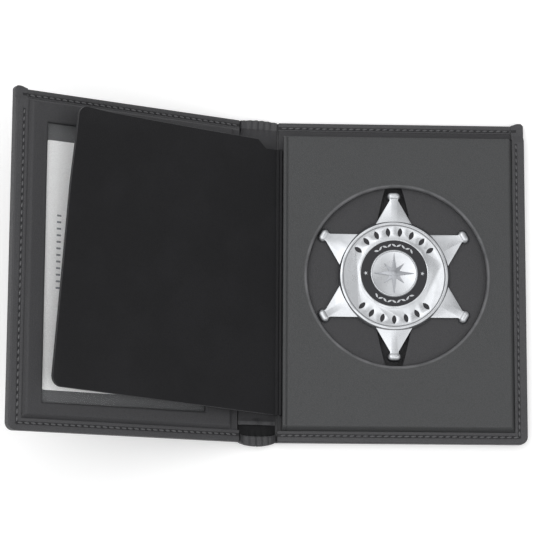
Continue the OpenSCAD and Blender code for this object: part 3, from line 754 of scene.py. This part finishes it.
# %% [markdown]
# ## From flat to bent
# Where the spine's turned hems are pressed together, the leather stands in soft pleats and
# bulges a little past the covers. A sculpted relief could show that, but it would miss the
# bend. Here a flat piece is pleated by a sine wave and laid along the bent line in one go.

# %% Pleats and bend
PLEAT_END, PLEAT_RISE, PLEAT_DEPTH, PLEAT_STEP = 5, 0.5, 0.3, 2.9
TOP_BULGE, FOOT_BULGE = 0.5, -1.3
HEM_TOPS = {"top": (2.1, 2.1), "bottom": (4.1, 3.3)}
HEM_FADE = 2.2


def arch(s):
    """1 in the middle of the spine, falling to 0 at its folds."""
    return math.sin(math.pi * min(max(s / SPINE_W, 0), 1))


def bent(bm):
    """Bends flat leather round the folds, with soft pleats and a bulge where the hems gather."""
    for vert in bm.verts:
        s, v, z = vert.co
        over = arch(s) ** 0.6
        end = smooth((abs(v) - COVER_H / 2 + PLEAT_END) / PLEAT_END)
        pleat = over * end * (PLEAT_RISE + PLEAT_DEPTH * math.sin(s * PLEAT_STEP + 0.4))
        if z > LEATHER + 0.1 and end > 0.2:
            badge_top, id_top = HEM_TOPS["top" if v > 0 else "bottom"]
            z += (badge_top - z) * (1 - smooth((s + TRAY_START) / HEM_FADE))
            z += (id_top - z) * (1 - smooth((SPINE_W + TRAY_START - s) / HEM_FADE))
        v += over * end * (TOP_BULGE if v > 0 else FOOT_BULGE)
        rise = z + pleat * (0.4 if z < 0.5 else 1.0) - FOLD_Z
        middle, tilt = spine_line(s)
        x, height = middle + rise * Vector((math.sin(tilt), math.cos(tilt)))
        vert.co = (x, v, height)


print("pleats rise by", PLEAT_RISE + PLEAT_DEPTH, "mm")

# %% [markdown]
# ## Spine leather and lining
# The spine bends when the wallet closes. Its leather and its lining are made in two halves that
# meet in the middle. Each half is cut flat, the leather gets its turned hems by an extrusion, and
# both are cut across about every 0.3 mm.

# %% Half a spine
LINING_FOLD = 1.4


def block(bm, middle, size):
    made = bmesh.ops.create_cube(bm, size=1)
    bmesh.ops.transform(bm, matrix=Matrix.Translation(middle) @ Matrix.Diagonal((*size, 1)),
                        verts=made["verts"])


def spine_half(first, last):
    """Spine leather from first to last, with its turned hems."""
    bm = bmesh.new()
    block(bm, ((first + last) / 2, 0, LEATHER / 2), (last - first, COVER_H, LEATHER))
    end, low, high = COVER_H / 2, -COVER_H / 2 + 2.6, COVER_H / 2 - TOP_HEM
    cut(bm, 1, [low, high])
    tops = [f for f in bm.faces
            if f.normal.z > 0.9 and not low < f.calc_center_median().y < high]
    pulled(bm, tops, HEM)
    bmesh.ops.delete(bm, geom=tops, context="FACES")
    bmesh.ops.recalc_face_normals(bm, faces=bm.faces)
    soften(bm, sharp_edges(bm, keep=lambda m: abs(m.y) > end - 0.01 and first < m.x < last),
           0.4, 4)
    soften(bm, sharp_edges(bm, keep=lambda m: m.z > LEATHER + 0.2 and abs(m.y) < end - 1
                           and first < m.x < last), 0.12, 2)
    for face in bm.faces:
        middle = face.calc_center_median()
        bare = face.normal.z > 0.9 and low < middle.y < high and middle.z > LEATHER / 2
        face.material_index = int(bare)
    cut(bm, 0, steps(first, last, 24)[1:-1])
    cut(bm, 1, steps(-end, -end + 6, 9)[1:] + steps(end - 6, end, 9)[:-1])
    bent(bm)
    return bm


def lining_half(first, last):
    """Spine lining from first to last, with its foot gathered up and painted lighter as a
    highlight.
    """
    bm = bmesh.new()
    low, high = -COVER_H / 2 + 5.8, COVER_H / 2 - TOP_HEM + 0.6
    block(bm, ((first + last) / 2, (low + high) / 2, LEATHER + LINING / 2),
          (last - first, high - low, LINING))
    cut(bm, 0, steps(first, last, 18)[1:-1])
    cut(bm, 1, steps(low, low + 6, 10)[1:] + steps(high - 6, high, 6)[:-1])
    # the curled foot gets the lighter leather: a painted highlight
    second_finish(bm, lambda face: face.calc_center_median().y < low + LINING_FOLD)
    for vert in bm.verts:
        s, v, _ = vert.co
        gather = 1.0 + 0.35 * math.sin(s * 1.3)
        vert.co.z += gather * smooth((low + 2.4 - v) / 2.4) * arch(s)
    bent(bm)
    return bm


print("half a spine:", round(SPINE_W / 2 + TRAY_START, 2), "mm wide")

# %% [markdown]
# ## Placing the spine halves
# Each half runs from one cover to the middle of the spine, and stays fixed where it is laid.

# %% Spine pieces
MIDDLE = SPINE_W / 2


def at_spine(s):
    middle, _ = spine_line(s)
    return Vector((middle.x, 0, middle.y)) * MM


halves = (
    ("badge", -TRAY_START, MIDDLE, ("badge_cover", "spine"), -BEND, 3.6),
    ("id", MIDDLE, SPINE_W + TRAY_START, ("spine", "id_cover"), SPINE_W - 3.6, SPINE_W + BEND),
)
for side, first, last, bodies, start, end in halves:
    outer = new_object(f"spine_leather_{side}_side", spine_half(first, last), TO_METRES,
                       COVER_LEATHER, FLESH_SIDE)
    lining = lining_half(max(first, -0.5), min(last, SPINE_W + 0.5))
    inner = new_object(f"spine_lining_{side}_side", lining, TO_METRES,
                       LINING_DARKENED_AS_SHADE, POCKET_TONE_AND_FOLD_HIGHLIGHT)
    for obj, slot, node in ((outer, "black_leather", "spine_leather"),
                            (inner, "lining_leather", "spine_lining")):
        at_spine(start)
        at_spine(end)
        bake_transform(obj)
        dress(obj, [node])

# %% [markdown]
# ## Linings, floor, strap and welt
# These leathers show only in part: a margin above a pocket's mouth, the floor of the recess
# round the badge, the rolled edge that the flap hangs on. They could be drawn as sheets too, but
# their solids have the right form, so each is a merged copy with finely rounded cut edges.

# %% Inner leathers
# The recess floor's cut edges and the whole welt get the dark edge leather: edge dye that also
# paints the shade there.
inner_leathers = (
    # the badge pocket's lining is darkened as painted shade at the pocket's mouth
    ("badge_pocket_lining", BADGE_SIDE, "badge_cover", [LINING_DARKENED_AS_SHADE], "lining_leather", 0.1),
    ("recess_floor", BADGE_SIDE, "badge_cover", [FLOOR_LEATHER, DYED_EDGE_AND_SHADE], "lining_leather", 0.2),
    ("badge_strap", BADGE_SIDE, "badge_cover", [FLESH_SIDE], "black_leather", 0.12),
    ("id_pocket_lining", ID_SIDE, "id_cover", [POCKET_TONE_AND_FOLD_HIGHLIGHT], "lining_leather", 0.1),
    ("flap_welt", BADGE_SIDE, "badge_cover", [DYED_EDGE_AND_SHADE], "black_leather", 0.12),
    ("flap_hinge_roll", FLAP_SIDE, "flap_root", [FLAP_LEATHER], "black_leather", 0.08),
)
for node, place, body, finishes, slot, width in inner_leathers:
    bm = cad_copy(node, place)
    soften(bm, sharp_edges(bm), width)
    if len(finishes) > 1:
        second_finish(bm, is_cut_edge)
    piece(f"{node}_dressed", bm, place, finishes, body, [node])

# %% [markdown]
# ## The felt pad
# The pad fills the panel and gives the recess its depth. Only its edge shows inside the round
# cut-out. A sculpted fluffy edge would be lost at this size, so its solid is copied and its edges
# are rounded.

# %% Felt pad
bm = cad_copy("recess_pad", BADGE_SIDE)
soften(bm, sharp_edges(bm), 0.25)
pad = piece("felt_pad", bm, BADGE_SIDE, [FELT], "badge_cover", ["recess_pad"])

# %% [markdown]
# ## The flap
# Two leathers glued back to back and cut together. It has been handled for years: it has taken a
# curve, its free end stands up a little, and its upper corner curls towards the reader. A cloth
# simulation would give a cloth's folds.

# %% Flap leathers
FLAP_START, FLAP_END, FLAP_LOW, FLAP_HIGH = 0.4, 83.0, -45.2, 46.8
ROOT_END, ROOT_HIGH = 5.2, FLAP_HIGH - 3
PLY, SAG = 0.6, 1.575
CORNER_R = 3.4
FLAT_END = 10
CURL_START, CURL_SHARE, CURL = 0.72, 0.28, 1.7
LIFT_LOW, LIFT_MORE, RIPPLE = 0.4, 3.6, 0.2
FLAP_OUTLINE = (
    (FLAP_START, FLAP_LOW, 0), (FLAP_END, FLAP_LOW + 5, CORNER_R),
    (FLAP_END - 5.5, FLAP_HIGH + 1.6, CORNER_R), (ROOT_END + 3, FLAP_HIGH, 0),
    (ROOT_END, ROOT_HIGH, 0), (FLAP_START, ROOT_HIGH, 0),
)


def flap_rise(u, v):
    """How far the flap stands off the cover."""
    t = min(max((u - FLAT_END) / (FLAP_END - FLAT_END), 0), 1)
    s = (v - FLAP_LOW) / (FLAP_HIGH - FLAP_LOW)
    curl = smooth((t - CURL_START) / CURL_SHARE) * smooth((s - CURL_START) / CURL_SHARE)
    ripple = RIPPLE * t * math.sin(5 * t + 2 * s)
    return t * t * (LIFT_LOW + LIFT_MORE * s) + CURL * curl + ripple


def flap_leather(name, low, high, node):
    bm = bmesh.new()
    verts = [bm.verts.new((u, v, high)) for u, v, _ in FLAP_OUTLINE]
    bm.faces.new(verts)
    for vert, (_, _, radius) in zip(verts, FLAP_OUTLINE):
        if radius:
            round_corners(bm, [vert], radius, 10)
    pulled(bm, bm.faces[:], low - high)
    bmesh.ops.recalc_face_normals(bm, faces=bm.faces)
    soften(bm, sharp_edges(bm, keep=lambda m: m.x > ROOT_END + 1), 0.2)
    cut(bm, 0, steps(FLAP_START, FLAP_END, 30)[1:-1])
    cut(bm, 1, steps(FLAP_LOW, FLAP_HIGH, 34)[1:-1])
    for vert in bm.verts:
        vert.co.z += flap_rise(vert.co.x, vert.co.y)
    # the sideways faces get the lighter edge leather, a painted highlight
    second_finish(bm, is_cut_edge)
    obj = piece(name, bm, FLAP_SIDE, [FLAP_LEATHER, FLAP_EDGE_HIGHLIGHT], "flap", [node])
    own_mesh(obj)


flap_leather("flap_front", -SAG, -SAG + PLY, "flap_front_leather")
flap_leather("flap_back", -SAG - PLY, -SAG, "flap_back_leather")

# %% [markdown]
# ## The flap's hinge
# Between the rolled edge and the flap, the leather is pared thin so that it can turn. Without
# it a gap would open as the flap turns over. Here it is a thin strip laid from the rolled edge to
# the flap, fixed where it lies.

# %% Thin leather of the hinge
WEB = 0.5
web_end = Vector((1.3, 0, -SAG))
web_middle = Vector((web_end.x / 2, (ROOT_HIGH + FLAP_LOW) / 2, web_end.z / 2))
lean = Matrix.Rotation(math.atan2(-web_end.z, web_end.x), 4, "Y")
bm = bmesh.new()
block(bm, (0, 0, 0), (web_end.length, ROOT_HIGH - FLAP_LOW, WEB))
cut(bm, 0, steps(-web_end.length / 2, web_end.length / 2, 6)[1:-1])
bmesh.ops.transform(bm, matrix=Matrix.Translation(web_middle) @ lean, verts=bm.verts)
web = new_object("flap_hinge_web", bm, FLAP_SIDE, FLAP_LEATHER)
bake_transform(web)
dress(web)

# %% [markdown]
# ## The card
# A card of stiff white stock with rounded corners. It could be a flat plane, but its cut edges
# show when it slides out. So its solid is copied, its upright edges get the corners' radius, and
# its long edges are only just broken.

# %% Card
CARD_CORNER, CARD_EDGE = 0.8, 0.06
bm = cad_copy("id_card", ID_SIDE)
corners = [[v.co[axis] for v in bm.verts] for axis in (0, 1, 2)]
card_right, card_foot = min(corners[0]), min(corners[1])
card_left, card_head, card_top = (max(values) for values in corners)


def upright_edges(bm, least):
    return [e for e in bm.edges if abs(e.verts[0].co.z - e.verts[1].co.z) > least]


soften(bm, upright_edges(bm, 0.2), CARD_CORNER, 4)
soften(bm, sharp_edges(bm), CARD_EDGE, 1)
piece("id_card_stock", bm, ID_SIDE, [CARD], "card", ["id_card"])

# %% [markdown]
# ## The card's print
# A plain form in grey: a heading bar, a box for a picture, ruled lines, and a column of short
# marks along the left margin. It could be a mask in the material, but as a layer of thin plates
# its edges stay sharp, however near the camera comes. Each plate is given by its distance from
# the card's left edge and foot, its width and its height.

# %% Print
INK_HEIGHT = 0.03
wide, high = card_left - card_right, card_head - card_foot
printed = [(14, high - 13, wide - 19, 7), (14, high - 41, 16, 24)]
printed += [(34, high - 39 + 5 * i, wide - (39 if i % 2 else 44), 0.4) for i in range(5)]
printed += [(14, 8 + 5 * i, wide - (19 if i % 2 else 28), 0.4) for i in range(6)]
printed += [(4.0, 32 + 2.1 * i, 1.5, 0.6) for i in range(12)]
bm = bmesh.new()
for left, up, width, height in printed:
    block(bm, (card_left - left - width / 2, card_foot + up + height / 2, card_top),
          (width, height, INK_HEIGHT))
soften(bm, upright_edges(bm, 0.01), 0.1, 2)
piece("id_card_print", bm, ID_SIDE, [INK], "card")

# %% [markdown]
# ## The clear sheet
# A stiff clear plastic is sewn in behind the frame. A single face would do for a still picture,
# but a real sheet shows its thickness at the edge, so it is a copy of its solid with the edges
# rounded.

# %% Clear sheet
bm = cad_copy("id_window", ID_SIDE)
soften(bm, sharp_edges(bm), 0.08, 2)
piece("clear_sheet", bm, ID_SIDE, [CLEAR], "id_cover", ["id_window"])

# %% [markdown]
# ## Stitching
# Every hem is sewn with waxed thread, about eleven stitches to 25 mm. Each stitch is a small
# swollen grain of thread that dives into the leather at both ends. It could be bump in the
# leather's material, but only modelled threads catch the light one by one.

# %% Stitches on the hems
PITCH = 2.3
STITCH = (0.92, 0.36, 0.3)
SLANT, SLANT_PLAY = 7, 2
FIRST_STITCH = 2.0
random.seed(7)


def stitch_line(bm, start, end, z, up):
    start, end = Vector((*start, z)), Vector((*end, z))
    count = round((end - start).length / PITCH)
    along, normal = (end - start).normalized(), Vector((0, 0, up))
    turn = Matrix((along, normal.cross(along), normal)).transposed().to_4x4()
    for i in range(count):
        at = start + (end - start) * (i + 0.5) / count
        angle = math.radians(SLANT + random.uniform(-SLANT_PLAY, SLANT_PLAY))
        place = Matrix.Translation(at) @ turn @ Matrix.Rotation(angle, 4, "Z")
        bmesh.ops.create_uvsphere(bm, u_segments=6, v_segments=5, radius=1,
                                  matrix=place @ Matrix.Diagonal((*STITCH, 1)))


def cover_stitches(hem_top):
    """The side, bottom and top seams of a cover, on its inner and its outer face."""
    bm = bmesh.new()
    for side_z, top_z, up in ((hem_top - 0.16, 1.94, 1), (0.3, 0.3, -1)):
        stitch_line(bm, (SIDE_SEAM, BOTTOM_SEAM), (SIDE_SEAM, SIDE_SEAM_END), side_z, up)
        stitch_line(bm, (FIRST_STITCH, BOTTOM_SEAM), (SIDE_SEAM, BOTTOM_SEAM), side_z, up)
        stitch_line(bm, (FIRST_STITCH, TOP_SEAM), (SIDE_SEAM, TOP_SEAM), top_z, up)
    return bm


for body, place, hem_top in (("badge_cover", BADGE_SIDE, 4.1), ("id_cover", ID_SIDE, 3.3)):
    piece(f"{body}_stitches", cover_stitches(hem_top), place, [THREAD], body)

# %% [markdown]
# ## The star badge
# Die-struck in one blow: six points with a low ridge, ball tips, and a round body with a raised
# rim. It could be modelled again with more detail, but the CAD solid has these forms. A merged
# copy gets fine bevels, because struck metal has no sharp edges and every rounded edge draws a
# line of light.

# %% Star, seal and rosette
struck = (("badge_star", SILVER, 0.1), ("badge_seal", SILVER, 0.08),
          ("seal_rosette", SATIN_SILVER, 0.05))
STRUCK_EDGE = 28
for node, material, width in struck:
    bm = cad_copy(node, ON_BADGE)
    soften(bm, sharp_edges(bm, STRUCK_EDGE), width, 2)
    piece(f"{node}_struck", bm, ON_BADGE, [material], "badge_cover", [node])

# %% [markdown]
# ## Silver in the enamel
# Two sprigs of leaves and two small stars stand in the dark ring, as a die leaves them when the
# enamel is poured round them. They could be drawn in the enamel's colour, but raised silver
# shines when the light moves. Each is a flat outline with a little depth.

# %% Sprigs and small stars
RING_R = 9.45
SHAPE_DEPTH, SHAPE_RISE = 0.14, 0.06
LEAF_TURN, LEAF_STEP = 32, 9.5
ring_low, ring_high = (Vector(c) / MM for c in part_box("enamel_ring"))
ring_middle = Vector(((ring_low.x + ring_high.x) / 2, (ring_low.y + ring_high.y) / 2,
                      ring_high.z + SHAPE_RISE))


def raised_shape(bm, points, turn, angle):
    """A flat silver shape on the enamel ring, at an angle round it."""
    place = (Matrix.Translation(ring_middle) @ Matrix.Rotation(math.radians(angle), 4, "Z")
             @ Matrix.Translation((RING_R, 0, 0)) @ Matrix.Rotation(math.radians(turn), 4, "Z"))
    outline = [bm.verts.new(place @ Vector((*point, 0))) for point in points]
    pulled(bm, [bm.faces.new(outline)], -SHAPE_DEPTH)


def star_points(count, radius, inner):
    points = []
    for i in range(2 * count):
        reach, angle = inner if i % 2 else radius, math.pi * i / count
        points.append((reach * math.cos(angle), reach * math.sin(angle)))
    return points


leaf = [(0.85 * math.cos(a), 0.3 * math.sin(a) * abs(math.sin(a)))
        for a in steps(0, 2 * math.pi, 14)[:-1]]
bm = bmesh.new()
for angle in (0, 180):
    raised_shape(bm, star_points(5, 0.72, 0.3), 0, angle)
for middle in (90, 270):
    for i in range(-4, 5):
        turn = 90 + (LEAF_TURN if i % 2 else -LEAF_TURN)
        raised_shape(bm, leaf, turn, middle + LEAF_STEP * i)
piece("enamel_sprigs", bm, TO_METRES, [SILVER], "badge_cover")

# %% [markdown]
# ## Solids that keep their shape
# The enamel, the pin with its catch, and the boards are right as they are, and mostly hidden.
# Copies would add nothing, so these solids only get their finish.

# %% Finishes for the solids that stay
finishes = {
    "enamel_ring": ENAMEL, "enamel_marks": ENAMEL,
    "pin_hinge_base": PIN_STEEL, "pin_hinge_rivet": PIN_STEEL, "pin_stem": PIN_STEEL,
    "catch_housing": PIN_STEEL, "catch_rotor": PIN_STEEL,
    "badge_cover_board": BOARD, "id_cover_board": BOARD,
}
for node, material in finishes.items():
    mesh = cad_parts[node].data
    mesh.materials.clear()
    mesh.materials.append(material)
print("finished solids:", len(finishes))

# %% [markdown]
# ## The floor
# A product photograph stands on white. More light would whiten the floor, but it would bleach
# the wallet too. So the floor is nearly white, and only what the camera, gloss and glass see of
# it is lifted to white by a faint glow. The wallet's shadow stays on it.

# %% Floor
FLOOR_SIZE, FLOOR_Z = 3.0, -0.0003
GLOW = 0.24
n = Nodes("pale floor")
rays = n.add("ShaderNodeLightPath").outputs
mirrored = n.maths("MAXIMUM", rays["Is Glossy Ray"], rays["Is Transmission Ray"])
seen = n.maths("MAXIMUM", rays["Is Camera Ray"], mirrored)
floor_material = n.finish({
    "Base Color": n.blend(n.noise(30, 2.0), rgb("f6f6f6"), rgb("f4f4f4")),
    "Roughness": 0.9, "Specular IOR Level": 0.1,
    "Emission Color": (1, 1, 1, 1), "Emission Strength": n.maths("MULTIPLY", seen, GLOW)})
bm = bmesh.new()
bmesh.ops.create_grid(bm, x_segments=1, y_segments=1, size=FLOOR_SIZE)
floor = new_object("floor", bm, Matrix.Translation((0, 0, FLOOR_Z)), floor_material)
floor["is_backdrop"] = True
print("floor:", 2 * FLOOR_SIZE, "m wide")

# %% [markdown]
# ## The sky
# The sky fills the shadows, shows as white behind the wallet, and is what the silver mirrors.
# A picture of a studio could do all three. A few nodes do it with one number for each: a plain
# level as light, white for the camera and through the clear sheet, and for gloss a grey that is
# lighter overhead than at the sides, as in a real studio with grey walls.

# %% Sky
SKY_LEVEL = 0.5
WALL_GREY, CEILING_GREY = 0.55, 0.8
world = bpy.data.worlds.new("studio sky")
scene.world = world
world.use_nodes = True
sky = world.node_tree
rays = add_node(sky, "ShaderNodeLightPath").outputs
direction = add_node(sky, "ShaderNodeTexCoord").outputs["Generated"]
upwards = add_node(sky, "ShaderNodeSeparateXYZ", {0: direction}).outputs["Z"]
walls = add_node(sky, "ShaderNodeMapRange", {"Value": upwards, "From Min": 0.45, "From Max": 0.98,
                                             "To Min": WALL_GREY, "To Max": CEILING_GREY})
as_light = add_node(sky, "ShaderNodeMapRange", {"Value": rays["Is Camera Ray"],
                                                "To Min": SKY_LEVEL, "To Max": 1.0})
through_clear = add_node(sky, "ShaderNodeMix", {0: rays["Is Transmission Ray"],
                                                2: as_light.outputs[0], 3: 1.0})
level = add_node(sky, "ShaderNodeMix", {0: rays["Is Glossy Ray"], 2: through_clear.outputs[0],
                                        3: walls.outputs[0]})
set_inputs(sky, sky.nodes["Background"], {"Color": (1, 1, 1, 1), "Strength": level.outputs[0]})
print("sky level:", SKY_LEVEL)

# %% [markdown]
# ## The lamps
# One wide lamp above, a little from the upper left, gives the soft shadow, and a small one from
# the right fills it. A single lamp could do, but then the flap would shade the card, so a third
# stands close to the camera. Together with the sky they light a flat surface at the level at
# which its colour comes out as written.

# %% Lamps
AIM = Vector((-0.03, 0, 0))


def soft_lamp(name, at, size, watts):
    lamp_data = bpy.data.lights.new(name, "AREA")
    lamp_data.shape, lamp_data.energy = "RECTANGLE", watts
    lamp_data.size, lamp_data.size_y = size
    lamp = bpy.data.objects.new(name, lamp_data)
    lamp.location = at
    lamp.rotation_euler = (AIM - Vector(at)).to_track_quat("-Z", "Y").to_euler()
    scene.collection.objects.link(lamp)
    print(f"{name}: {watts} W")


soft_lamp("softbox", (-0.3, 0.5, 0.9), (1.2, 0.9), 2.6)
soft_lamp("fill", (0.5, -0.2, 0.75), (0.8, 0.6), 1.4)
soft_lamp("front light", (-0.27, -0.15, 0.95), (1.0, 0.8), 3.4)

# %% [markdown]
# ## The camera
# The photograph looks down on the wallet from 0.7 m with a long lens. Its place could be found
# by eye, but here it was fitted to the corners of both covers, so that every edge falls where
# the photograph has it. Colours are shown plainly, with no film look.

# %% Camera
camera_data = bpy.data.cameras.new("camera")
camera_data.lens, camera_data.sensor_width = 140.8, 36
camera_data.clip_start, camera_data.clip_end = 0.01, 20
camera = bpy.data.objects.new("camera", camera_data)
camera.location = (-0.071, -0.1057, 0.6984)
camera.rotation_euler = [math.radians(a) for a in (8.91, -2.31, 0.31)]
scene.collection.objects.link(camera)
scene.camera = camera
scene.view_settings.view_transform = "Standard"
print("camera:", camera_data.lens, "mm lens")

# %% [markdown]
# ## Check the size and finish
# The dressed wallet has to fill the same box as the CAD model. A look at the picture wouldn't
# show a millimetre, so both boxes are measured and written down.

# %% Size and finish
boxes = {"cad": [list(c) for c in cad_box], "dressed": [list(c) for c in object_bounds()]}
for name, (low, high) in boxes.items():
    print(name, [round((b - a) / MM, 1) for a, b in zip(low, high)], "mm")
